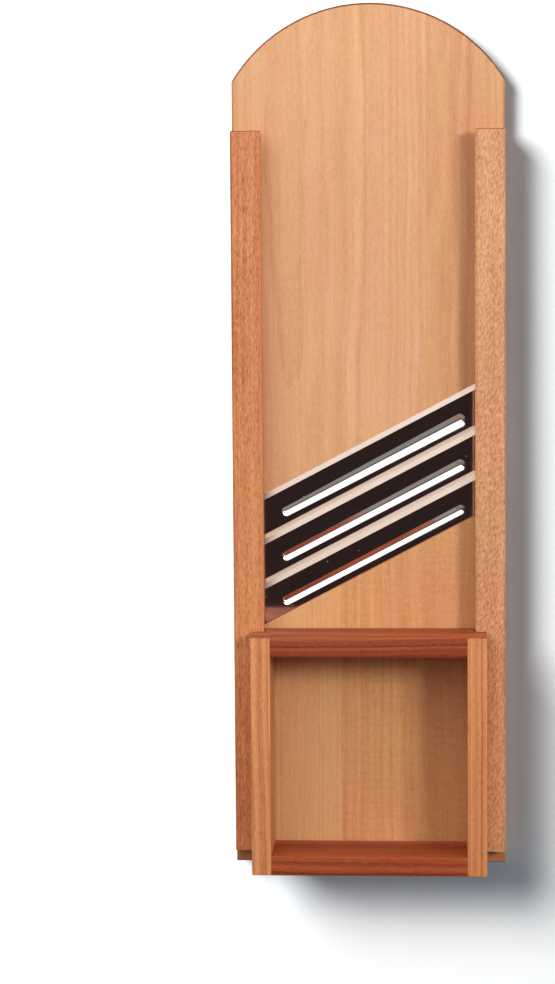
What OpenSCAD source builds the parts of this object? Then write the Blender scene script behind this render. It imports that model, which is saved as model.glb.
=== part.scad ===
// Cabbage slicer: a long board with three fixed diagonal blades, and an open
// box that slides on two side rails and pushes the cabbage over the blades.
// Millimetres. X runs across the board, +Y along it towards the arched end
// and +Z up. The origin is on the underside, at the middle of the board.

/* [Board] */
// Width of the board
board_w = 172; // [160:1:185]
// Length of the board, to the top of the arch
board_l = 545; // [500:1:620]
// Thickness of the board
board_t = 12; // [11:0.5:16]
// Radius of the arched end
arch_r = 101; // [95:1:160]
// Glue line between the two staves of the upper board
upper_glue_x = 36; // [20:1:50]
// Glue line between the two staves of the lower board
lower_glue_x = -19; // [-40:1:0]

/* [Rails] */
// Width of a cap strip, whose inner part is the tongue that the box runs on
cap_w = 19; // [18:0.5:21]
// Thickness of a cap strip
cap_t = 10; // [8:0.5:10]
// Width of the base strip under a cap
base_w = 12; // [11:0.5:13]
// Height of the base strip
base_h = 7.7; // [7:0.1:9]
// Distance from the top of the arch down to the upper end of the rails
rail_top_gap = 80; // [60:0.5:120]
// Length of base strip left bare at the lower end of each rail
cap_end_gap = 9; // [0:0.5:12]
// Chamfer along the inner top edge of a cap
inner_chamfer = 1.5; // [0.5:0.1:2.5]
// Chamfer along the outer top edge of a cap
outer_chamfer = 0.8; // [0.3:0.1:2]

/* [Blades] */
// Angle between the blades and the width of the board, in degrees
blade_angle = 27.5; // [20:0.5:32]
// Where the cut edge of the upper board crosses the middle line
opening_y = -1.4; // [-20:0.1:10]
// Width of a blade behind its ground bevel
blade_flat = 20.1; // [18:0.1:22]
// Width of the ground bevel
bevel_w = 3.1; // [2:0.1:3.5]
// Thickness of a blade
blade_t = 1; // [0.8:0.1:1.2]
// Thickness left at the cutting edge
edge_t = 0.12; // [0.08:0.01:0.2]
// Tilt that lifts each cutting edge above what lies in front of it, in degrees
blade_tilt = 4.6; // [3:0.1:5]
// Slit in front of the first blade, seen from above
first_slit = 0.2; // [0.2:0.1:3]
// Slit in front of each of the other blades
slit_w = 2.2; // [1.5:0.1:3]
// Width of the pressed stiffening bead
bead_w = 6.4; // [4:0.1:7]
// Depth of the bead
bead_depth = 1.2; // [0.6:0.1:1.5]
// Distance from the back of a blade to the middle of its bead
bead_from_back = 6.85; // [6:0.05:9]
// Where the bead starts, across the board
bead_x0 = -55; // [-60:1:-40]
// Where the bead ends, across the board
bead_x1 = 61; // [40:1:62]

/* [Screws] */
// Radius of the rail screws
rail_screw_r = 1.75; // [1.5:0.05:2.25]
// Radius of the rail screws' heads
rail_head_r = 3.5; // [3:0.1:4.5]
// Length of the rail screws
rail_screw_l = 26; // [22:0.5:27]
// Radius of the blade screws
blade_screw_r = 1.25; // [1:0.05:1.5]
// Radius of the blade screws' heads
blade_head_r = 2.3; // [2:0.1:2.6]
// Length of the blade screws
blade_screw_l = 9; // [6:0.5:10]

/* [Box] */
// Length of the box, along the rails
box_l = 150; // [120:1:160]
// Height of the box
box_h = 46; // [43:0.5:60]
// Thickness of the box's walls
wall_t = 12; // [10:0.5:14]
// Gap between the bottom of the box and the board
box_lift = 2; // [1.9:0.1:3]
// Height of one finger of the corner joints
finger_h = 9; // [8:0.5:10]
// Sideways clearance between the box and the rails, on each side
side_play = 0.5; // [0.3:0.1:0.8]
// Clearance over each tongue
over_tongue = 0.2; // [0.1:0.1:0.4]
// Clearance under each tongue
under_tongue = 0.6; // [0.3:0.1:0.8]

/* [Hidden] */

$fn = 96;

BEECH = "#dca26c";
RAIL_BEECH = "#cd8f60";
BOX_BEECH = "#c98a5c";
BOX_RED = "#a8553a";
STEEL = "#4a4442";
SCREW_STEEL = "#9a9a98";

// How far a cutting tool reaches past the face that it opens
cut = 1;
// Clearance round a screw
screw_play = 0.05;

LEFT = -1;
RIGHT = 1;

// Board: its ends, and the centre of the arch
board_y0 = -board_l / 2;
board_y1 = board_l / 2;
arch_y = board_y1 - arch_r;

// Rails: the tongues' inner faces, the base strips' inner faces and the ends
tongue_x = board_w / 2 - cap_w;
base_x = board_w / 2 - base_w;
rail_y1 = board_y1 - rail_top_gap;
tongue_z0 = board_t + base_h;
tongue_z1 = tongue_z0 + cap_t;

// Blades: distances are measured square to the cutting edges, towards the arch
blade_w = blade_flat + bevel_w;
blade_pitch = blade_w + slit_w;
blade_count = 3;
upper_edge_v = opening_y * cos(blade_angle);
back_gap = 0.15;
blade_end_x = base_x - 0.5;
pocket_end_x = base_x - 0.3;
pocket_play = 0.1;
blade_screw_x = (tongue_x + blade_end_x) / 2;
blade_screw_y = blade_flat / 2 + 2;
function blade_back_v(i) = upper_edge_v - first_slit - i * blade_pitch - blade_w;
lower_edge_v = blade_back_v(blade_count - 1) - back_gap;

// Slope of the cut edges, and where they cross a line at x
edge_slope = tan(blade_angle);
function edge_y(v, x) = v / cos(blade_angle) + x * edge_slope;

// Rail screws: two in each board and one in the bridge between them
rail_screw_x = base_x + base_w / 2;
lower_screw_ys = [board_y0 + 20, board_y0 + 112];
upper_screw_ys = [rail_y1 - 112, rail_y1 - 15];
function bridge_screw_y(side) =
    edge_y((upper_edge_v + lower_edge_v) / 2, side * rail_screw_x);
head_sink = 0.3;

// Box: it stands on the rails at the lower end of the board
groove_d = base_x - tongue_x;
box_w = 2 * (base_x - side_play);
box_z0 = board_t + box_lift;
box_z1 = box_z0 + box_h;
box_y = board_y0 + box_l / 2;
groove_z0 = tongue_z0 - under_tongue;
groove_z1 = tongue_z1 + over_tongue;
finger_count = ceil((box_h - finger_h / 2) / finger_h) + 1;
// Boundaries of the fingers, from the top of the box down; the first and the
// last lie outside it
function finger_z(k) =
    k == 0 ? box_z1 + cut
    : k == finger_count ? box_z0 - cut
    : box_z1 - (k - 0.5) * finger_h;

// Outline of the whole board, with the arch
module board_outline() {
    translate([-board_w / 2, board_y0])
        square([board_w, arch_y - board_y0]);
    intersection() {
        translate([0, arch_y])
            circle(arch_r, $fn = 180);
        translate([-board_w / 2, arch_y - cut])
            square([board_w, arch_r + 2 * cut]);
    }
}

// Part of the board between two lines along it, on one side of a cut edge
module stave(x0, x1, edge_v, side) {
    difference() {
        intersection() {
            linear_extrude(board_t)
                board_outline();
            translate([x0, -board_l, -cut])
                cube([x1 - x0, 2 * board_l, board_t + 2 * cut]);
        }
        rotate([0, 0, blade_angle])
            translate([-board_l, side > 0 ? edge_v - 2 * board_l : edge_v, -cut])
                cube([2 * board_l, 2 * board_l, board_t + 2 * cut]);
        for (rail = [LEFT, RIGHT], y = side > 0 ? upper_screw_ys : lower_screw_ys)
            translate([rail * rail_screw_x, y, 0])
                rail_screw_hole();
    }
}

// Places its children in the frame of blade i: the back edge of the blade's
// top face is the local X axis, and local Y runs to the cutting edge
module at_blade(i) {
    rotate([0, 0, blade_angle])
        translate([0, blade_back_v(i), board_t])
            rotate([blade_tilt, 0, 0])
                children();
}

// Local X, in blade i's frame, of a point at x across the board
function blade_u(i, x, y) =
    (x + (blade_back_v(i) + y * cos(blade_tilt)) * sin(blade_angle)) / cos(blade_angle);

// Prism along local X with a profile in the local YZ plane
module along_blade(length) {
    rotate([90, 0, 90])
        linear_extrude(length, center = true)
            children();
}

// Rod with ball ends along the bead of blade i
module bead_rod(i, rod_r) {
    bead_r = (bead_w * bead_w / 4 + bead_depth * bead_depth) / (2 * bead_depth);
    u0 = blade_u(i, bead_x0, bead_from_back) + bead_w / 2;
    u1 = blade_u(i, bead_x1, bead_from_back) - bead_w / 2;
    translate([0, bead_from_back, bead_r - bead_depth]) {
        translate([u0, 0, 0])
            rotate([0, 90, 0])
                cylinder(h = u1 - u0, r = rod_r + bead_r);
        for (u = [u0, u1])
            translate([u, 0, 0])
                rotate([0, 90, 0])
                    sphere(rod_r + bead_r);
    }
}

// Blade with a ground bevel, a pressed bead and one screw hole at each end
module blade(i) {
    color(STEEL)
    difference() {
        union() {
            intersection() {
                at_blade(i)
                    along_blade(3 * board_w)
                        polygon([
                            [0, -blade_t],
                            [blade_w, -blade_t],
                            [blade_w, edge_t - blade_t],
                            [blade_flat, 0],
                            [0, 0]
                        ]);
                translate([-blade_end_x, -board_l, 0])
                    cube([2 * blade_end_x, 2 * board_l, 2 * board_t]);
            }
            at_blade(i)
                intersection() {
                    bead_rod(i, blade_t);
                    translate([-board_w, 0, -3 * blade_t])
                        cube([2 * board_w, blade_flat, 2.5 * blade_t]);
                }
        }
        at_blade(i) {
            bead_rod(i, 0);
            for (side = [LEFT, RIGHT])
                translate([blade_u(i, side * blade_screw_x, blade_screw_y), blade_screw_y, 0])
                    blade_screw_hole();
        }
    }
}

// Countersunk screw: its head's face is at z = 0 and its point below
module screw(shank_r, head_r, length) {
    head_h = head_r - shank_r;
    slot_w = 0.35 * head_r;
    slot_d = 0.55 * head_h;
    tip_h = 2 * shank_r;
    difference() {
        union() {
            translate([0, 0, -head_h])
                cylinder(h = head_h, r1 = shank_r, r2 = head_r, $fn = 48);
            translate([0, 0, tip_h - length])
                cylinder(h = length - tip_h - head_h, r = shank_r, $fn = 48);
            translate([0, 0, -length])
                cylinder(h = tip_h, r1 = 0.2, r2 = shank_r, $fn = 48);
        }
        for (turn = [0, 90])
            rotate([0, 0, turn])
                translate([0, 0, cut / 2 - slot_d / 2])
                    cube([1.2 * head_r, slot_w, slot_d + cut], center = true);
    }
}

// Hole for a countersunk screw, open above z = 0
module screw_hole(shank_r, head_r, length) {
    hole_r = shank_r + screw_play;
    sink_r = head_r + screw_play;
    sink_h = sink_r - hole_r;
    translate([0, 0, -length - screw_play])
        cylinder(h = length + cut, r = hole_r, $fn = 48);
    translate([0, 0, -sink_h])
        cylinder(h = sink_h, r1 = hole_r, r2 = sink_r, $fn = 48);
    cylinder(h = cut, r = sink_r, $fn = 48);
}

module blade_screw_hole() {
    screw_hole(blade_screw_r, blade_head_r, blade_screw_l);
}

// Rail screws stand point up, with their heads sunk in the underside
module rail_screw_hole() {
    translate([0, 0, head_sink])
        mirror([0, 0, 1])
            screw_hole(rail_screw_r, rail_head_r, rail_screw_l);
}

module blade_screws(i) {
    color(SCREW_STEEL)
    at_blade(i)
        for (side = [LEFT, RIGHT])
            translate([blade_u(i, side * blade_screw_x, blade_screw_y), blade_screw_y, 0])
                screw(blade_screw_r, blade_head_r, blade_screw_l);
}

module rail_screws(side) {
    color(SCREW_STEEL)
    for (y = concat(lower_screw_ys, [bridge_screw_y(side)], upper_screw_ys))
        translate([side * rail_screw_x, y, head_sink])
            mirror([0, 0, 1])
                screw(rail_screw_r, rail_head_r, rail_screw_l);
}

// Block under a rail that joins the two boards and carries the blades' ends
module bridge(side) {
    color(BEECH)
    difference() {
        intersection() {
            rotate([0, 0, blade_angle])
                translate([-board_l, lower_edge_v, 0])
                    cube([2 * board_l, upper_edge_v - lower_edge_v, board_t]);
            translate([side > 0 ? tongue_x : -board_w / 2, -board_l, -cut])
                cube([cap_w, 2 * board_l, board_t + 2 * cut]);
        }
        intersection() {
            for (i = [0 : blade_count - 1])
                at_blade(i)
                    translate([-board_w, -pocket_play, -blade_t])
                        cube([2 * board_w, blade_w + 2 * pocket_play, board_t]);
            translate([-pocket_end_x, -board_l, 0])
                cube([2 * pocket_end_x, 2 * board_l, 2 * board_t]);
        }
        for (i = [0 : blade_count - 1])
            at_blade(i)
                translate([blade_u(i, side * blade_screw_x, blade_screw_y), blade_screw_y, 0])
                    blade_screw_hole();
        translate([side * rail_screw_x, bridge_screw_y(side), 0])
            rail_screw_hole();
    }
}

// Strip along the board with a profile in the XZ plane
module strip_along(y0, y1) {
    translate([0, y1, 0])
        rotate([90, 0, 0])
            linear_extrude(y1 - y0)
                children();
}

module rail_holes(side) {
    for (y = concat(lower_screw_ys, [bridge_screw_y(side)], upper_screw_ys))
        translate([side * rail_screw_x, y, 0])
            rail_screw_hole();
}

module rail_base(side) {
    color(RAIL_BEECH)
    difference() {
        strip_along(board_y0, rail_y1)
            translate([side > 0 ? base_x : -base_x - base_w, board_t])
                square([base_w, base_h]);
        rail_holes(side);
    }
}

module rail_cap(side) {
    color(RAIL_BEECH)
    difference() {
        strip_along(board_y0 + cap_end_gap, rail_y1)
            polygon([
                [side * tongue_x, tongue_z0],
                [side * board_w / 2, tongue_z0],
                [side * board_w / 2, tongue_z1 - outer_chamfer],
                [side * (board_w / 2 - outer_chamfer), tongue_z1],
                [side * (tongue_x + inner_chamfer), tongue_z1],
                [side * tongue_x, tongue_z1 - inner_chamfer]
            ]);
        rail_holes(side);
    }
}

// Every second finger of a corner, starting with number first
module finger_gaps(first, size_x, size_y) {
    for (k = [first : 2 : finger_count - 1])
        translate([-size_x / 2, -size_y / 2, finger_z(k + 1)])
            cube([size_x, size_y, finger_z(k) - finger_z(k + 1)]);
}

// Groove in which a tongue runs, past both ends of the box
module rail_groove(side) {
    translate([
        side > 0 ? box_w / 2 - groove_d : -box_w / 2 - cut,
        box_y - box_l / 2 - cut,
        groove_z0
    ])
        cube([groove_d + cut, box_l + 2 * cut, groove_z1 - groove_z0]);
}

// Grooved wall beside a rail
module box_side(side) {
    color(BOX_BEECH)
    difference() {
        translate([side > 0 ? box_w / 2 - wall_t : -box_w / 2, box_y - box_l / 2, box_z0])
            cube([wall_t, box_l, box_h]);
        for (end = [-1, 1])
            translate([
                side * (box_w - wall_t) / 2,
                box_y + end * (box_l - wall_t + cut) / 2,
                0
            ])
                finger_gaps(1, wall_t + 2 * cut, wall_t + cut);
        rail_groove(side);
    }
}

// Wall across the board; end is -1 for the lower one and 1 for the upper one
module box_end(end) {
    color(BOX_RED)
    difference() {
        translate([-box_w / 2, box_y + (end > 0 ? box_l / 2 - wall_t : -box_l / 2), box_z0])
            cube([box_w, wall_t, box_h]);
        for (side = [LEFT, RIGHT])
            translate([
                side * (box_w - wall_t + cut) / 2,
                box_y + end * (box_l - wall_t) / 2,
                0
            ])
                finger_gaps(0, wall_t + cut, wall_t + 2 * cut);
        rail_groove(LEFT);
        rail_groove(RIGHT);
    }
}

module upper_wide_stave() {
    color(BEECH)
        stave(-board_w / 2, upper_glue_x, upper_edge_v, 1);
}

module upper_narrow_stave() {
    color(BEECH)
        stave(upper_glue_x, board_w / 2, upper_edge_v, 1);
}

module lower_narrow_stave() {
    color(BEECH)
        stave(-board_w / 2, lower_glue_x, lower_edge_v, -1);
}

module lower_wide_stave() {
    color(BEECH)
        stave(lower_glue_x, board_w / 2, lower_edge_v, -1);
}

upper_wide_stave();
upper_narrow_stave();
lower_narrow_stave();
lower_wide_stave();
bridge(LEFT);  // left_bridge
bridge(RIGHT);  // right_bridge
rail_base(LEFT);  // left_rail_base
rail_base(RIGHT);  // right_rail_base
rail_cap(LEFT);  // left_rail_cap
rail_cap(RIGHT);  // right_rail_cap
blade(0);  // upper_blade
blade(1);  // middle_blade
blade(2);  // lower_blade
blade_screws(0);  // upper_blade_screws
blade_screws(1);  // middle_blade_screws
blade_screws(2);  // lower_blade_screws
rail_screws(LEFT);  // left_rail_screws
rail_screws(RIGHT);  // right_rail_screws
box_side(LEFT);  // box_left_wall
box_side(RIGHT);  // box_right_wall
box_end(-1);  // box_lower_wall
box_end(1);  // box_upper_wall
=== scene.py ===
"""Looks of the cabbage slicer: its wooden pieces, its blades, the studio and the camera.

Everything is in metres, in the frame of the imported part: X across the board, +Y along it towards
the arched end, +Z up from the surface that the slicer lies on.
"""

import math

import bmesh
import bpy
from mathutils import Matrix, Vector
from mathutils.bvhtree import BVHTree


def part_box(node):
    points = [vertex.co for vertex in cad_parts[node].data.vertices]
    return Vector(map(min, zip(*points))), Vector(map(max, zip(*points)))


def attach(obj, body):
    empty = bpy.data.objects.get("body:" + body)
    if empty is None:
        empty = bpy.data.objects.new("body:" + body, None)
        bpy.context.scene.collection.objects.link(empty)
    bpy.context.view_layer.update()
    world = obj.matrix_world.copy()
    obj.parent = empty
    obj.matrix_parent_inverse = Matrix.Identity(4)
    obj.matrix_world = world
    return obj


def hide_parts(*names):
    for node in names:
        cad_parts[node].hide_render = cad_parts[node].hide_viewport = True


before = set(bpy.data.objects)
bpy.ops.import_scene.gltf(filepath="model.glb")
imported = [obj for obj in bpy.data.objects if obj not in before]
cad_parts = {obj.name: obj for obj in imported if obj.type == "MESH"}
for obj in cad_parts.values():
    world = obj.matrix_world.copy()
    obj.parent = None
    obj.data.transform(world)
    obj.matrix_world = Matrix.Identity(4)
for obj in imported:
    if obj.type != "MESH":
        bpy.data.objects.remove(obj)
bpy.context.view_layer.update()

MM = 0.001

# Camera: where it stands, what it is aimed at, and its lens
CAMERA_PLACE = Vector((0.038, 0.0955, 1.581))
CAMERA_AIM = Vector((-0.0587, -0.0352, 0.012))
CAMERA_UP = Vector((0.0075, 1.0, 0.0))
CAMERA_LENS_MM = 90.4

# Blades, with the part's own dimensions: turned from the board's X axis, and sunk at the back
BLADE_ANGLE = math.radians(27.5)
BLADE_TILT = math.radians(4.6)
BLADE_WAY = Vector((math.cos(BLADE_ANGLE), math.sin(BLADE_ANGLE), 0))
BLADE_FLAT = 20.1 * MM
BEVEL_W = 3.1 * MM
BLADE_T = 1.0 * MM
EDGE_T = 0.12 * MM
BACK_ROUND = 0.35 * MM

# The pressed bead: where it starts and ends across the board, and its section
BEAD_X0 = -55 * MM
BEAD_X1 = 61 * MM
BEAD_FROM_BACK = 6.85 * MM
BEAD_DEPTH = 1.15 * MM
BEAD_BACK_FLANK = 4.0 * MM
BEAD_FRONT_FLANK = 2.7 * MM
BEAD_LEFT_SCALE = 0.9
BEAD_LEFT_END = 1.2 * MM
BEAD_RIGHT_END = 3.2 * MM

# How soft the bead's bends are, as shares of its section; the back one softens to the right
BEAD_BOTTOM_SOFTNESS = 0.004
BEAD_FRONT_SOFTNESS = 0.09
BEAD_BACK_SOFTNESS = 0.07
BEAD_BACK_SOFTENING = 0.4

# Arrises of the boards, of the rails and of the box's walls
BOARD_ARRIS = 1.3 * MM
RAIL_ARRIS = 0.5 * MM
BOX_ARRIS = 0.4 * MM

ACROSS = Vector((1, 0, 0))
ALONG = Vector((0, 1, 0))
board_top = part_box("upper_wide_stave")[1].z
base_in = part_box("right_rail_base")[0].x
rail_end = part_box("right_rail_base")[1].y


# ---------------------------------------------------------------- materials


def colour(red, green, blue):
    """An sRGB colour, 0 to 255, as linear RGBA."""

    def linear(c):
        c /= 255
        return c / 12.92 if c <= 0.04045 else ((c + 0.055) / 1.055) ** 2.4

    return (linear(red), linear(green), linear(blue), 1.0)


class Graph:
    """Builds one material's node tree."""

    def __init__(self, name):
        self.material = bpy.data.materials.new(name)
        self.material.use_nodes = True
        self.nodes = self.material.node_tree.nodes
        self.links = self.material.node_tree.links
        self.shader = self.nodes["Principled BSDF"]

    def put(self, socket, value):
        """Links a socket to another one, or sets it to a plain value."""
        if isinstance(value, bpy.types.NodeSocket):
            self.links.new(value, socket)
        elif value is not None:
            socket.default_value = value

    def math(self, operation, a, b=None, clamp=False):
        node = self.nodes.new("ShaderNodeMath")
        node.operation = operation
        node.use_clamp = clamp
        self.put(node.inputs[0], a)
        self.put(node.inputs[1], b)
        return node.outputs[0]

    def sum(self, base, *terms):
        """base plus each (weight, value) pair, where a value of 0.5 counts as none."""
        for weight, value in terms:
            base = self.math("ADD", base, self.math("MULTIPLY", self.math("SUBTRACT", value, 0.5), weight))
        return base

    def split(self, vector):
        node = self.nodes.new("ShaderNodeSeparateXYZ")
        self.put(node.inputs[0], vector)
        return node.outputs

    def join(self, x, y, z):
        node = self.nodes.new("ShaderNodeCombineXYZ")
        for socket, value in zip(node.inputs, (x, y, z)):
            self.put(socket, value)
        return node.outputs[0]

    def stretch(self, vector, scale, shift=(0, 0, 0)):
        node = self.nodes.new("ShaderNodeVectorMath")
        node.operation = "MULTIPLY_ADD"
        self.put(node.inputs[0], vector)
        self.put(node.inputs[1], scale)
        self.put(node.inputs[2], shift)
        return node.outputs[0]

    def noise(self, vector, detail, roughness=0.5):
        node = self.nodes.new("ShaderNodeTexNoise")
        self.put(node.inputs["Vector"], vector)
        node.inputs["Scale"].default_value = 1.0
        node.inputs["Detail"].default_value = detail
        node.inputs["Roughness"].default_value = roughness
        return node.outputs["Fac"]

    def noise_1d(self, value, detail):
        node = self.nodes.new("ShaderNodeTexNoise")
        node.noise_dimensions = "1D"
        self.put(node.inputs["W"], value)
        node.inputs["Scale"].default_value = 1.0
        node.inputs["Detail"].default_value = detail
        return node.outputs["Fac"]

    def cells(self, vector):
        """(distance to the nearest cell's centre, a random number of that cell)."""
        node = self.nodes.new("ShaderNodeTexVoronoi")
        self.put(node.inputs["Vector"], vector)
        node.inputs["Scale"].default_value = 1.0
        return node.outputs["Distance"], self.split(node.outputs["Color"])[0]

    def ramp(self, value, low, high, out_low=0.0, out_high=1.0):
        """A smooth rise from out_low at low to out_high at high."""
        node = self.nodes.new("ShaderNodeMapRange")
        node.interpolation_type = "SMOOTHSTEP"
        for socket, number in zip(node.inputs[:5], (value, low, high, out_low, out_high)):
            self.put(socket, number)
        return node.outputs[0]

    def mix(self, factor, a, b, blend="MIX"):
        node = self.nodes.new("ShaderNodeMix")
        node.data_type = "RGBA"
        node.blend_type = blend
        self.put(node.inputs[0], factor)
        self.put(node.inputs[6], a)
        self.put(node.inputs[7], b)
        return node.outputs[2]

    def tinted(self, base, tint, amount):
        """base times tint, as far as amount says."""
        return self.mix(amount, base, self.mix(1.0, base, tint, "MULTIPLY"))

    def coordinates(self):
        """(place, normal) of the shaded point, in the part's frame."""
        node = self.nodes.new("ShaderNodeTexCoord")
        return node.outputs["Object"], node.outputs["Normal"]

    def bump(self, height, distance, strength):
        node = self.nodes.new("ShaderNodeBump")
        node.inputs["Strength"].default_value = strength
        node.inputs["Distance"].default_value = distance
        self.put(node.inputs["Height"], height)
        self.put(self.shader.inputs["Normal"], node.outputs[0])

    def set(self, **values):
        """Sets the shader's sockets; an underscore stands for a space."""
        for name, value in values.items():
            self.put(self.shader.inputs[name.replace("_", " ")], value)
        return self.material


# How often each figure of the wood repeats in a metre: across, through and along the grain
WAVER = (45, 45, 16)
WARP = (9, 9, 2.2)
PATCHES = (26, 26, 9)
DRIFT = (38, 38, 13)
STREAKS = (480, 480, 13)
FIBRES = (1500, 1500, 70)
RAYS = (1150, 1150, 330)
FLECKS = (820, 820, 120)
CURLS = (90, 90, 420)
PORES = (3200, 3200, 60)

# Tints of the flecks, of the painted shade on end-grain rims and of end grain, and how far the hue
# drifts either way
FLECK_TINT = (0.6, 0.43, 0.33, 1)
RIM_SHADE_TINT = (0.42, 0.31, 0.25, 1)
END_TINT = Vector((1.25, 0.95, 0.88))
COOLER, WARMER = (1.0, 0.955, 0.95, 1), (1.0, 1.035, 0.94, 1)


def growth_rings(g, across, through, trunk, waver, seed, ring, wander):
    """(tone of the growth ring, amount of dark late wood) round a pith at across = through = 0.

    ring is the rings' width and wander how far they stray, in millimetres.
    """
    warp = g.noise(g.stretch(trunk, WARP), detail=3)
    squares = g.math("ADD", g.math("MULTIPLY", across, across), g.math("MULTIPLY", through, through))
    radius = g.sum(g.math("SQRT", squares), (wander * MM, warp), (1.6 * MM, waver))
    count = g.math("MULTIPLY", radius, 1 / (ring * MM))
    ring_tone = g.noise_1d(g.math("ADD", count, 7.3 * seed), detail=1)
    late = g.ramp(g.math("FRACT", count), 0.55, 1.0)
    return ring_tone, g.math("MULTIPLY", late, g.noise_1d(g.math("MULTIPLY", count, 0.31), detail=0))


def end_grain_colour(g, wood_colour, wood, end_tone):
    """The colour of the same wood where it is cut across, with its pores open."""
    pores, _ = g.cells(g.stretch(wood, PORES))
    pore_tone = g.ramp(pores, 0.1, 0.5, 0.72, 1.0)
    end_colour = g.mix(1.0, wood_colour, (*(END_TINT * end_tone), 1), "MULTIPLY")
    return g.mix(1.0, end_colour, g.join(pore_tone, pore_tone, pore_tone), "MULTIPLY")


def shaded_arrises(g, wood_colour, streak, steepness, arris_shading_tint, rim_shade):
    """Painted shade on the eased arrises where the tint darkens, a painted highlight where it lightens,
    and a painted dark rim of shade round end grain.
    """
    arris = g.nodes.new("ShaderNodeAttribute")
    arris.attribute_name = "arris"
    rounded = arris.outputs["Fac"]
    # Painted shade (darkening tint) or painted highlight (lightening tint) on arrises; painted shade on
    # end-grain rims
    arris_shading = g.math("MULTIPLY", rounded, g.ramp(streak, 0.25, 0.6, 0.3, 0.9))
    rim_shaded = g.math("MULTIPLY", rounded, g.ramp(steepness, 0.05, 0.3, 0.0, rim_shade))
    return g.tinted(g.tinted(wood_colour, arris_shading_tint, arris_shading), RIM_SHADE_TINT, rim_shaded)


def beech(name, light, dark, axes, seed, rings, streaks, flecks, pith=(0.03, -0.11), ring=2.6,
          mottle=0.3, skew=0.0, ripple=0.0, broad=0.35, wander=10.0, end_tone=0.55,
          arris_shading_tint=(0.75, 0.64, 0.58, 1), rim_shade=0.6, sheen=0.38):
    """Beech as a solid texture, so that its faces and its end grain belong together.

    axes names the part's axes across the grain, through the thickness and along the grain. pith is
    where the heart of the tree would be, across and through the piece, in metres. ring and wander
    are as in growth_rings. skew slants the rays, ripple is the figure of curly grain,
    arris_shading_tint tints the arrises, which is painted shade where it darkens and a painted
    highlight where it lightens, rim_shade is how dark the painted shade on the rims of end grain is,
    and sheen how strongly the surface reflects. The rest are strengths.
    """
    g = Graph(name)
    spot, normal = g.coordinates()
    place = dict(zip("XYZ", g.split(spot)))
    shift = (0.37 * seed, 0.23 * seed, 0.61 * seed)
    trunk = g.stretch(g.join(place[axes[0]], place[axes[1]], place[axes[2]]), (1, 1, 1), shift)
    waver = g.noise(g.stretch(trunk, WAVER), detail=2)
    parts = g.split(trunk)
    wood = g.join(g.sum(parts[0], (3.4 * MM, waver)), g.sum(parts[1], (3.4 * MM, waver)), parts[2])
    lean = g.math("SUBTRACT", parts[0], g.math("MULTIPLY", parts[2], skew))
    slanted = g.join(lean, parts[1], parts[2])

    across = g.math("SUBTRACT", place[axes[0]], pith[0])
    through = g.math("SUBTRACT", place[axes[1]], pith[1])
    ring_tone, late_wood = growth_rings(g, across, through, trunk, waver, seed, ring, wander)
    streak = g.noise(g.stretch(wood, STREAKS), detail=4, roughness=0.65)
    fibre = g.noise(g.stretch(wood, FIBRES), detail=2, roughness=0.6)
    patch = g.noise(g.stretch(trunk, PATCHES), detail=3)
    rays = g.noise(g.stretch(slanted, RAYS), detail=2, roughness=0.65)

    tone = g.sum(0.42, (rings, ring_tone), (streaks, streak), (0.2, fibre), (broad, patch))
    tone = g.sum(tone, (mottle, rays))
    if ripple:
        curl = g.noise(g.stretch(wood, CURLS, (2.2, 6.1, 4.7)), detail=2, roughness=0.6)
        tone = g.sum(tone, (ripple, curl))
    tone = g.math("ADD", tone, g.math("MULTIPLY", late_wood, 0.45 * rings), clamp=True)
    drift = g.ramp(g.noise(g.stretch(trunk, DRIFT, (9.1, 4.4, 2.2)), detail=2), 0.3, 0.7)
    hue = g.mix(drift, COOLER, WARMER)
    wood_colour = g.mix(1.0, g.mix(tone, light, dark), hue, "MULTIPLY")

    fleck = g.noise(g.stretch(slanted, FLECKS, (3.1, 1.7, 5.3)), detail=2, roughness=0.55)
    fleck = g.ramp(fleck, 0.62, 0.74)
    wood_colour = g.tinted(wood_colour, FLECK_TINT, g.math("MULTIPLY", fleck, flecks))

    steepness = g.math("ABSOLUTE", g.split(normal)["XYZ".index(axes[2])])
    end_grain = g.ramp(steepness, 0.3, 0.65)
    wood_colour = g.mix(end_grain, wood_colour, end_grain_colour(g, wood_colour, wood, end_tone))
    # Painted shade and highlight on the arrises, and painted shade on the end-grain rims
    wood_colour = shaded_arrises(g, wood_colour, streak, steepness, arris_shading_tint, rim_shade)

    rough = g.sum(0.5, (0.16, fibre), (0.1, patch))
    rough = g.math("ADD", rough, g.math("MULTIPLY", end_grain, 0.15))
    height = g.sum(0.5, (0.5, fibre), (0.35, streak))
    height = g.math("SUBTRACT", height, g.math("MULTIPLY", fleck, 0.25))
    g.bump(height, 0.06 * MM, 0.55)
    return g.set(Base_Color=wood_colour, Roughness=rough, Specular_IOR_Level=sheen)


def blade_space(g):
    """The place in directions along a blade, across it and up."""
    turned = g.nodes.new("ShaderNodeVectorRotate")
    turned.rotation_type = "Z_AXIS"
    turned.inputs["Angle"].default_value = -BLADE_ANGLE
    g.put(turned.inputs["Vector"], g.coordinates()[0])
    return turned.outputs[0]


def polished_steel():
    """The blades' flats and beads: rolled along the blade, with a few smears and specks."""
    g = Graph("polished_steel")
    place = blade_space(g)
    brush = g.noise(g.stretch(place, (35, 5200, 5200)), detail=3, roughness=0.6)
    smear = g.noise(g.stretch(place, (30, 90, 90)), detail=3)
    speck, chance = g.cells(g.stretch(place, (330, 330, 330)))
    dot = g.math("MULTIPLY", g.ramp(speck, 0.16, 0.05), g.ramp(chance, 0.965, 0.97))
    tint = g.mix(g.ramp(smear, 0.35, 0.75), colour(238, 231, 225), colour(226, 218, 211))
    rough = g.math("ADD", g.sum(0.1, (0.04, brush), (0.06, smear)), g.math("MULTIPLY", dot, 0.5))
    g.bump(brush, 0.004 * MM, 0.35)
    return g.set(Base_Color=tint, Metallic=1.0, Roughness=rough)


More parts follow.
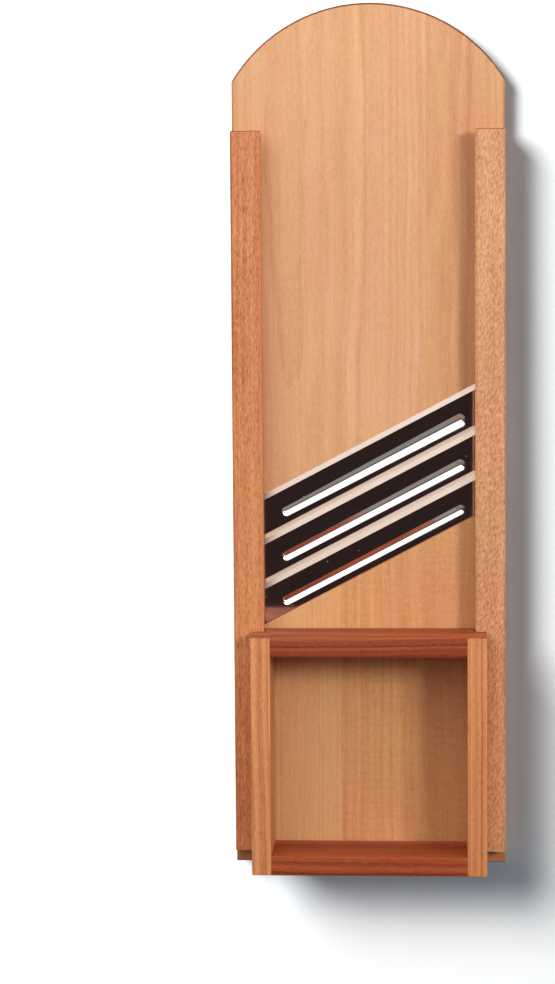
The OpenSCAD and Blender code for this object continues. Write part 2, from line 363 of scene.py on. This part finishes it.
def ground_steel():
    """The bevels, ground across the blade."""
    g = Graph("ground_steel")
    place = blade_space(g)
    scratch = g.noise(g.stretch(place, (4200, 120, 120)), detail=3, roughness=0.7)
    patch = g.noise(g.stretch(place, (60, 60, 60)), detail=2)
    tone = g.sum(0.5, (0.5, scratch), (0.3, patch))
    # The pinkish tint is a painted reflection of the warm wood that the bevels face
    tint = g.mix(tone, colour(224, 206, 194), colour(207, 188, 175))
    g.bump(scratch, 0.01 * MM, 0.4)
    return g.set(Base_Color=tint, Metallic=1.0, Roughness=g.sum(0.42, (0.15, scratch)))


def zinc():
    """The screws' plating."""
    g = Graph("zinc_plating")
    place, _ = g.coordinates()
    grain = g.noise(g.stretch(place, (1500, 1500, 1500)), detail=3)
    patch = g.noise(g.stretch(place, (400, 400, 400)), detail=2)
    tint = g.mix(patch, colour(198, 197, 192), colour(160, 158, 150))
    g.bump(grain, 0.02 * MM, 0.5)
    return g.set(Base_Color=tint, Metallic=1.0, Roughness=g.sum(0.38, (0.2, patch), (0.1, grain)))


# ------------------------------------------------------------- wooden pieces

# How far beside an arris to look for another piece, and the length of the longest facet of a bore
PROBE = 0.3 * MM
BORE_FACET = 1.2 * MM

# The way of the rays that count a solid's walls: square or parallel to no face
RAY = Vector((0.231, 0.417, 0.879)).normalized()

WOODEN = [n for n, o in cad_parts.items() if "blade" not in n and "screws" not in n]


def solid_of(node):
    """The CAD node's mesh, welded and with its flat faces whole."""
    solid = bmesh.new()
    solid.from_mesh(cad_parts[node].data)
    bmesh.ops.remove_doubles(solid, verts=solid.verts, dist=1e-6)
    bmesh.ops.dissolve_limit(solid, angle_limit=0.01, verts=solid.verts, edges=solid.edges)
    return solid


def search_tree(node):
    """The CAD node's faces, to be hit by rays."""
    solid = bmesh.new()
    solid.from_mesh(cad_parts[node].data)
    tree = BVHTree.FromBMesh(solid)
    solid.free()
    return tree


TREES = {node: (search_tree(node), *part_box(node)) for node in WOODEN}


def inside(point, tree, low, high):
    """True where a ray from the point leaves the solid one more time than it enters it."""
    if any(point[k] < low[k] or point[k] > high[k] for k in range(3)):
        return False
    hits = 0
    start = point.copy()
    while True:
        hit = tree.ray_cast(start, RAY)[0]
        if hit is None:
            return hits % 2 == 1
        hits += 1
        start = hit + RAY * 1e-6


def is_free(edge, node):
    """True for a convex arris that no other wooden piece touches and that no blade lies along."""
    if len(edge.link_faces) != 2 or not edge.is_convex or edge.calc_face_angle(0) < math.radians(25):
        return False
    if edge.calc_length() < BORE_FACET:
        return False
    first, second = (f.normal for f in edge.link_faces)
    start, end = (v.co for v in edge.verts)
    beside_blade = abs((end - start).normalized().dot(BLADE_WAY)) > 0.999
    if beside_blade and max(start.y, end.y) < rail_end:
        return False
    for share in (0.08, 0.5, 0.92):
        point = start.lerp(end, share)
        probes = (
            point + (first - second) * PROBE,
            point + (second - first) * PROBE,
            point + (first + second) * PROBE,
        )
        for other, (tree, low, high) in TREES.items():
            if other != node and any(inside(p, tree, low, high) for p in probes):
                return False
    return True


def split_at(solid, faces, point, normal):
    """Splits the given faces at a plane."""
    parts = {part for face in faces for part in (*face.verts, *face.edges, face)}
    bmesh.ops.bisect_plane(solid, geom=list(parts), plane_co=point, plane_no=normal, dist=1e-7)


def split_at_rails(solid):
    """Splits a board where the rails' ends and inner sides stand, and leaves its arched end whole.

    The free part of an arris can then be eased without the part that is under a rail.
    """
    split_at(solid, solid.faces[:], Vector((0, rail_end, 0)), ALONG)
    for side in (-1, 1):
        below = [f for f in solid.faces if all(v.co.y < rail_end + 1e-6 for v in f.verts)]
        split_at(solid, below, Vector((side * base_in, 0, 0)), ACROSS)


def wooden_piece(node, body, material, arris, under_rails=False):
    """A wooden piece with eased arrises in place of its CAD node."""
    solid = solid_of(node)
    if under_rails:
        split_at_rails(solid)
    solid.normal_update()
    arrises = [e for e in solid.edges if is_free(e, node)]
    eased = bmesh.ops.bevel(solid, geom=arrises, offset=arris, offset_type="OFFSET", segments=3,
                            profile=0.5, affect="EDGES", clamp_overlap=False)
    layer = solid.loops.layers.float.new("arris")
    for face in eased["faces"]:
        for corner in face.loops:
            corner[layer] = 1.0
    mesh = bpy.data.meshes.new(node + "_wood")
    solid.to_mesh(mesh)
    solid.free()
    mesh.shade_smooth()
    mesh.set_sharp_from_angle(angle=math.radians(32))
    piece = bpy.data.objects.new(node + "_wood", mesh)
    bpy.context.scene.collection.objects.link(piece)
    mesh.materials.append(material)
    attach(piece, body)
    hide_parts(node)


# -------------------------------------------------------------------- blades


def bend(x, r):
    """Zero below -r, x above r, and a smooth bend between them."""
    if x <= -r:
        return 0.0
    if x >= r:
        return x
    return (x + r) ** 2 / (4 * r)


def bead_depth(u, w, u0, u1, widening):
    """Depth of the pressed bead at u along the blade and w from its back edge.

    widening is how much larger its section gets on the way to the right end.
    """
    share = min(max((u - u0) / (u1 - u0), 0.0), 1.0)
    scale = BEAD_LEFT_SCALE + widening * share
    bottom = BEAD_FROM_BACK + (BEAD_BACK_FLANK - BEAD_FRONT_FLANK) / 2
    flank = scale * (BEAD_FRONT_FLANK if w > bottom else BEAD_BACK_FLANK)
    past_end = max(1 - (u - u0) / BEAD_LEFT_END, 1 - (u1 - u) / BEAD_RIGHT_END, 0.0)
    reach = math.sqrt(((w - bottom) / flank) ** 2 + past_end**2 + BEAD_BOTTOM_SOFTNESS)
    softness = BEAD_FRONT_SOFTNESS if w > bottom else BEAD_BACK_SOFTNESS + BEAD_BACK_SOFTENING * share
    return scale * BEAD_DEPTH * bend(1 - reach, softness)


def spread(*stretches):
    """Stations over stretches given as (start, end, number of steps)."""
    stations = [stretches[0][0]]
    for start, end, steps in stretches:
        stations += [start + (end - start) * (k + 1) / steps for k in range(steps)]
    return stations


def blade_stations(x0, x1):
    """Where a blade's mesh has points, across the board and from its back edge: close at the bead."""
    beyond, ends = 6 * MM, 12 * MM
    behind, before = 2.2 * MM, 1.8 * MM
    xs = spread(
        (x0, BEAD_X0 - beyond, 3),
        (BEAD_X0 - beyond, BEAD_X0 + ends, 56),
        (BEAD_X0 + ends, BEAD_X1 - ends, 12),
        (BEAD_X1 - ends, BEAD_X1 + beyond, 56),
        (BEAD_X1 + beyond, x1, 2),
    )
    bead_half = (BEAD_BACK_FLANK + BEAD_FRONT_FLANK) / 2
    bead_back = BEAD_FROM_BACK - bead_half - behind
    bead_front = BEAD_FROM_BACK + bead_half + before
    ws = spread(
        (0, BACK_ROUND, 1),
        (BACK_ROUND, bead_back, 2),
        (bead_back, bead_front, 60),
        (bead_front, BLADE_FLAT, 4),
        (BLADE_FLAT, BLADE_FLAT + BEVEL_W, 3),
    )
    return xs, ws


def close_skin(solid, top, bottom, is_ground):
    """Faces over two grids of points and round their rims. is_ground says which columns are ground."""
    rows, columns = len(top) - 1, len(top[0]) - 1
    for i in range(rows):
        for j in range(columns):
            face = solid.faces.new((top[i][j], top[i + 1][j], top[i + 1][j + 1], top[i][j + 1]))
            face.material_index = 1 if is_ground(j) else 0
            solid.faces.new((bottom[i][j], bottom[i][j + 1], bottom[i + 1][j + 1], bottom[i + 1][j]))
        solid.faces.new((top[i][0], bottom[i][0], bottom[i + 1][0], top[i + 1][0]))
        solid.faces.new((top[i][-1], top[i + 1][-1], bottom[i + 1][-1], bottom[i][-1]))
    for j in range(columns):
        solid.faces.new((top[0][j], top[0][j + 1], bottom[0][j + 1], bottom[0][j]))
        solid.faces.new((top[-1][j], bottom[-1][j], bottom[-1][j + 1], top[-1][j + 1]))


def shade(solid):
    """Smooth shading, with a crisp line at each sharp bend and where the bevel begins."""
    for face in solid.faces:
        face.smooth = True
    for edge in solid.edges:
        first, second = edge.link_faces
        bent = edge.calc_face_angle(0) > math.radians(24)
        edge.smooth = not bent and first.material_index == second.material_index


def blade_piece(node, widening, materials):
    """A blade with its pressed bead and its ground bevel, in place of its CAD node."""
    low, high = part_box(node)
    back_v = (low.y - low.x * math.tan(BLADE_ANGLE)) * math.cos(BLADE_ANGLE)
    to_board = (
        Matrix.Rotation(BLADE_ANGLE, 4, "Z")
        @ Matrix.Translation((0, back_v, board_top))
        @ Matrix.Rotation(BLADE_TILT, 4, "X")
    )

    def along(x, w):
        """How far along the blade it is x across the board, at w from the back edge."""
        return (x + (back_v + w * math.cos(BLADE_TILT)) * BLADE_WAY.y) / BLADE_WAY.x

    u0 = along(BEAD_X0, BEAD_FROM_BACK)
    u1 = along(BEAD_X1, BEAD_FROM_BACK)
    xs, ws = blade_stations(low.x, high.x)
    solid = bmesh.new()
    top, bottom = [], []
    for x in xs:
        top_row, bottom_row = [], []
        for w in ws:
            u = along(x, w)
            dip = bead_depth(u, w, u0, u1, widening)
            ground = max(w - BLADE_FLAT, 0) / BEVEL_W * (BLADE_T - EDGE_T)
            back_round = 0.4 * BACK_ROUND if w == 0 else 0
            top_row.append(solid.verts.new(to_board @ Vector((u, w, -dip - ground - back_round))))
            bottom_row.append(solid.verts.new(to_board @ Vector((u, w, -dip - BLADE_T))))
        top.append(top_row)
        bottom.append(bottom_row)
    close_skin(solid, top, bottom, lambda j: j == 0 or ws[j] >= BLADE_FLAT - 1e-9)
    shade(solid)
    mesh = bpy.data.meshes.new(node + "_steel")
    solid.to_mesh(mesh)
    solid.free()
    for material in materials:
        mesh.materials.append(material)
    piece = bpy.data.objects.new(node + "_steel", mesh)
    bpy.context.scene.collection.objects.link(piece)
    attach(piece, "board")
    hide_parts(node)


# --------------------------------------------------------------- the object

BOARD_LIGHT = colour(235, 184, 143)
BOARD_DARK = colour(203, 138, 92)
LOWER_LIGHT = colour(231, 174, 124)
LOWER_DARK = colour(196, 128, 78)
RAIL_LIGHT = colour(232, 173, 131)
RAIL_DARK = colour(185, 116, 77)
BASE_LIGHT = colour(206, 140, 96)
BASE_DARK = colour(160, 92, 58)
BOX_LIGHT = colour(230, 160, 108)
BOX_DARK = colour(176, 98, 54)
BOX_RED_LIGHT = colour(182, 88, 50)
BOX_RED_DARK = colour(104, 37, 19)

# The upper staves get the darkest painted shade on the rims of the arch's end grain
BOARD_WOOD = [
    ("upper_wide_stave", dict(light=BOARD_LIGHT, dark=BOARD_DARK, seed=1, pith=(-0.05, -0.14), rim_shade=1)),
    ("upper_narrow_stave", dict(light=colour(228, 174, 129), dark=colour(192, 127, 82), seed=2, rim_shade=1)),
    ("lower_narrow_stave", dict(light=colour(236, 184, 134), dark=colour(204, 142, 94), seed=3,
                                pith=(0.2, -0.02))),
    ("lower_wide_stave", dict(light=LOWER_LIGHT, dark=LOWER_DARK, seed=4, pith=(0.07, -0.16),
                              ripple=0.5)),
    ("left_bridge", dict(light=BOARD_LIGHT, dark=BOARD_DARK, seed=5)),
    ("right_bridge", dict(light=BOARD_LIGHT, dark=BOARD_DARK, seed=6)),
]
for node, wood in BOARD_WOOD:
    material = beech(node + "_beech", axes="XZY", ring=1.9, rings=0.5, streaks=0.6, flecks=0.12,
                     mottle=0.75, broad=0.5, **wood)
    wooden_piece(node, "board", material, BOARD_ARRIS, under_rails=True)

RAIL_WOOD = [
    ("left_rail_base", dict(light=BASE_LIGHT, dark=BASE_DARK, seed=7)),
    ("right_rail_base", dict(light=BASE_LIGHT, dark=BASE_DARK, seed=8)),
    ("left_rail_cap", dict(light=colour(229, 156, 105), dark=colour(172, 90, 52), seed=9, mottle=1.7,
                           skew=0.08, broad=0.6)),
    ("right_rail_cap", dict(light=RAIL_LIGHT, dark=RAIL_DARK, seed=10, mottle=2.9, skew=0.24)),
]
for node, wood in RAIL_WOOD:
    material = beech(node + "_beech", axes="XZY", rings=0.4, streaks=0.8, flecks=0.6, **wood)
    wooden_piece(node, "board", material, RAIL_ARRIS)

BOX_WOOD = [
    ("box_left_wall", "box_light_beech", "ZXY",
     dict(light=BOX_LIGHT, dark=BOX_DARK, seed=11, pith=(0.09, -0.02), ring=3.0, rings=0.95)),
    ("box_right_wall", "box_light_beech", "ZXY",
     dict(light=BOX_LIGHT, dark=BOX_DARK, seed=12, pith=(0.1, 0.12), ring=3.0, rings=0.95)),
    ("box_lower_wall", "box_red_beech", "ZYX",
     dict(light=BOX_RED_LIGHT, dark=BOX_RED_DARK, seed=13, pith=(0.06, -0.33), ring=6.5, rings=1.6,
          wander=26, end_tone=0.3)),
    ("box_upper_wall", "box_red_beech", "ZYX",
     dict(light=BOX_RED_LIGHT, dark=BOX_RED_DARK, seed=14, pith=(0.05, -0.07), ring=6.5, rings=1.6,
          wander=26, end_tone=0.3)),
]
# The box's arrises get a lightening tint, which is a painted highlight
for node, slot, axes, wood in BOX_WOOD:
    material = beech(node + "_beech", axes=axes, streaks=0.6, flecks=0.5, mottle=0.8, rim_shade=0.2,
                     arris_shading_tint=(1.12, 1.1, 1.1, 1), sheen=0.22, **wood)
    wooden_piece(node, "box", material, BOX_ARRIS)

steel = [polished_steel(), ground_steel()]
for node, widening in (("upper_blade", 0.55), ("middle_blade", 0.4), ("lower_blade", 0.2)):
    blade_piece(node, widening, steel)

plating = zinc()
for node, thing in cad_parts.items():
    if node.endswith("_screws"):
        thing.data.materials.clear()
        thing.data.materials.append(plating)


# ---------------------------------------------------------------- the studio


FLOOR_HALF = 8.0
FLOOR_DROP = 0.2 * MM
FLOOR_TONE = (0.84, 0.865, 0.875, 1)

# The floor's glow, which is painted light: faint far off, cool round the slicer, where it takes the
# wood's warm tint out of the shadow, and warm under the slits, where they would be dark
FAR_GLOW = (0.02, 0.02, 0.02, 1)
NEAR_GLOW = (0.0, 0.036, 0.062, 1)
SLIT_GLOW = (0.38, 0.3, 0.25, 1)

# The slits' middle, and how far from a middle a glow has ended and how far it is whole
SLITS_Y = -0.037
SLITS_ACROSS, SLITS_ALONG = (0.078, 0.066), (0.085, 0.06)
NEAR_ACROSS, NEAR_ALONG = (0.14, 0.1), (0.33, 0.29)


def floor():
    """A pale floor.

    It glows a little, as painted light: warm under the slits, where it would be dark, and cool close
    round the slicer, where the wood would tint the shadow.
    """
    half = FLOOR_HALF
    corners = [(-half, -half, 0), (half, -half, 0), (half, half, 0), (-half, half, 0)]
    mesh = bpy.data.meshes.new("floor")
    mesh.from_pydata(corners, [], [(0, 1, 2, 3)])
    piece = bpy.data.objects.new("floor", mesh)
    bpy.context.scene.collection.objects.link(piece)
    piece.location.z = -FLOOR_DROP
    g = Graph("floor_paper")
    spot, _ = g.coordinates()
    grain = g.noise(g.stretch(spot, (900, 900, 900)), detail=2)
    g.bump(grain, 0.05 * MM, 0.2)
    place = g.split(spot)
    off_x = g.math("ABSOLUTE", place[0])
    off_y = g.math("ABSOLUTE", place[1])
    off_slits = g.math("ABSOLUTE", g.math("SUBTRACT", place[1], SLITS_Y))
    # Painted light: a warm glow under the slits and a cool glow in the shadow round the slicer
    under = g.math("MULTIPLY", g.ramp(off_x, *SLITS_ACROSS), g.ramp(off_slits, *SLITS_ALONG))
    near = g.math("MULTIPLY", g.ramp(off_x, *NEAR_ACROSS), g.ramp(off_y, *NEAR_ALONG))
    glow = g.mix(under, g.mix(near, FAR_GLOW, NEAR_GLOW), SLIT_GLOW)
    g.set(Base_Color=FLOOR_TONE, Roughness=0.85, Specular_IOR_Level=0.1)
    g.set(Emission_Color=glow, Emission_Strength=1.0)
    mesh.materials.append(g.material)
    return piece


def softbox(name, place, aim, width, height, watts, tint):
    """A rectangular lamp aimed at a point."""
    light = bpy.data.lights.new(name, "AREA")
    light.shape = "RECTANGLE"
    light.size = width
    light.size_y = height
    light.energy = watts
    light.color = tint
    lamp = bpy.data.objects.new(name, light)
    bpy.context.scene.collection.objects.link(lamp)
    lamp.location = place
    lamp.rotation_euler = (Vector(aim) - Vector(place)).to_track_quat("-Z", "Y").to_euler()
    return lamp


def light_only(lamp, piece, state):
    """Lets a lamp light just one piece (INCLUDE), or every piece but that one (EXCLUDE)."""
    group = bpy.data.collections.new(lamp.name + "_receivers")
    group.objects.link(piece)
    group.collection_objects[0].light_linking.link_state = state
    lamp.light_linking.receiver_collection = group


# The room's colours overhead and at the horizon, and the heights where they start, 1 straight up
ZENITH = (0.027, 0.016, 0.0155, 1)
HORIZON = (0.58, 0.575, 0.565, 1)
ZENITH_HEIGHT, HORIZON_HEIGHT = 0.9, 0.15


def studio_world():
    """Dark overhead and pale towards the horizon, as in a room with white walls."""
    world = bpy.data.worlds.new("studio")
    bpy.context.scene.world = world
    world.use_nodes = True
    nodes, links = world.node_tree.nodes, world.node_tree.links
    background = nodes["Background"]
    texture = nodes.new("ShaderNodeTexCoord")
    parts = nodes.new("ShaderNodeSeparateXYZ")
    links.new(texture.outputs["Generated"], parts.inputs[0])
    gradient = nodes.new("ShaderNodeMapRange")
    gradient.interpolation_type = "SMOOTHSTEP"
    gradient.inputs["From Min"].default_value = ZENITH_HEIGHT
    gradient.inputs["From Max"].default_value = HORIZON_HEIGHT
    links.new(parts.outputs[2], gradient.inputs["Value"])
    blend = nodes.new("ShaderNodeMix")
    blend.data_type = "RGBA"
    links.new(gradient.outputs[0], blend.inputs[0])
    blend.inputs[6].default_value = ZENITH
    blend.inputs[7].default_value = HORIZON
    links.new(blend.outputs[2], background.inputs["Color"])


def camera():
    """The camera, upright along the board."""
    data = bpy.data.cameras.new("camera")
    data.lens = CAMERA_LENS_MM
    data.sensor_width = 36
    data.clip_start = 0.05
    data.clip_end = 50
    eye = bpy.data.objects.new("camera", data)
    bpy.context.scene.collection.objects.link(eye)
    forward = (CAMERA_AIM - CAMERA_PLACE).normalized()
    right = forward.cross(CAMERA_UP).normalized()
    up = right.cross(forward)
    turn = Matrix((right, up, -forward)).transposed().to_4x4()
    eye.matrix_world = Matrix.Translation(CAMERA_PLACE) @ turn
    bpy.context.scene.camera = eye


# Lamps: place, aim, width, height, watts, tint, and whether only the floor gets their light
LAMPS = {
    "key": ((1.45, 0.62, 2.06), (0, 0, 0), 0.64, 0.64, 33, (1.0, 0.98, 0.95), "EXCLUDE"),
    "floor_key": ((-1.85, 1.3, 2.3), (0, -0.1, 0), 1.6, 1.6, 178, (1, 1, 1), "INCLUDE"),
    "overhead": ((-0.616, 1.187, 1.486), (0, 0, 0), 2.6, 2.5, 35, (1.0, 0.99, 0.98), "EXCLUDE"),
}
paper = floor()
studio_world()
for name, (*lamp, floor_state) in LAMPS.items():
    light_only(softbox(name, *lamp), paper, floor_state)
camera()
bpy.context.scene.view_settings.view_transform = "Standard"
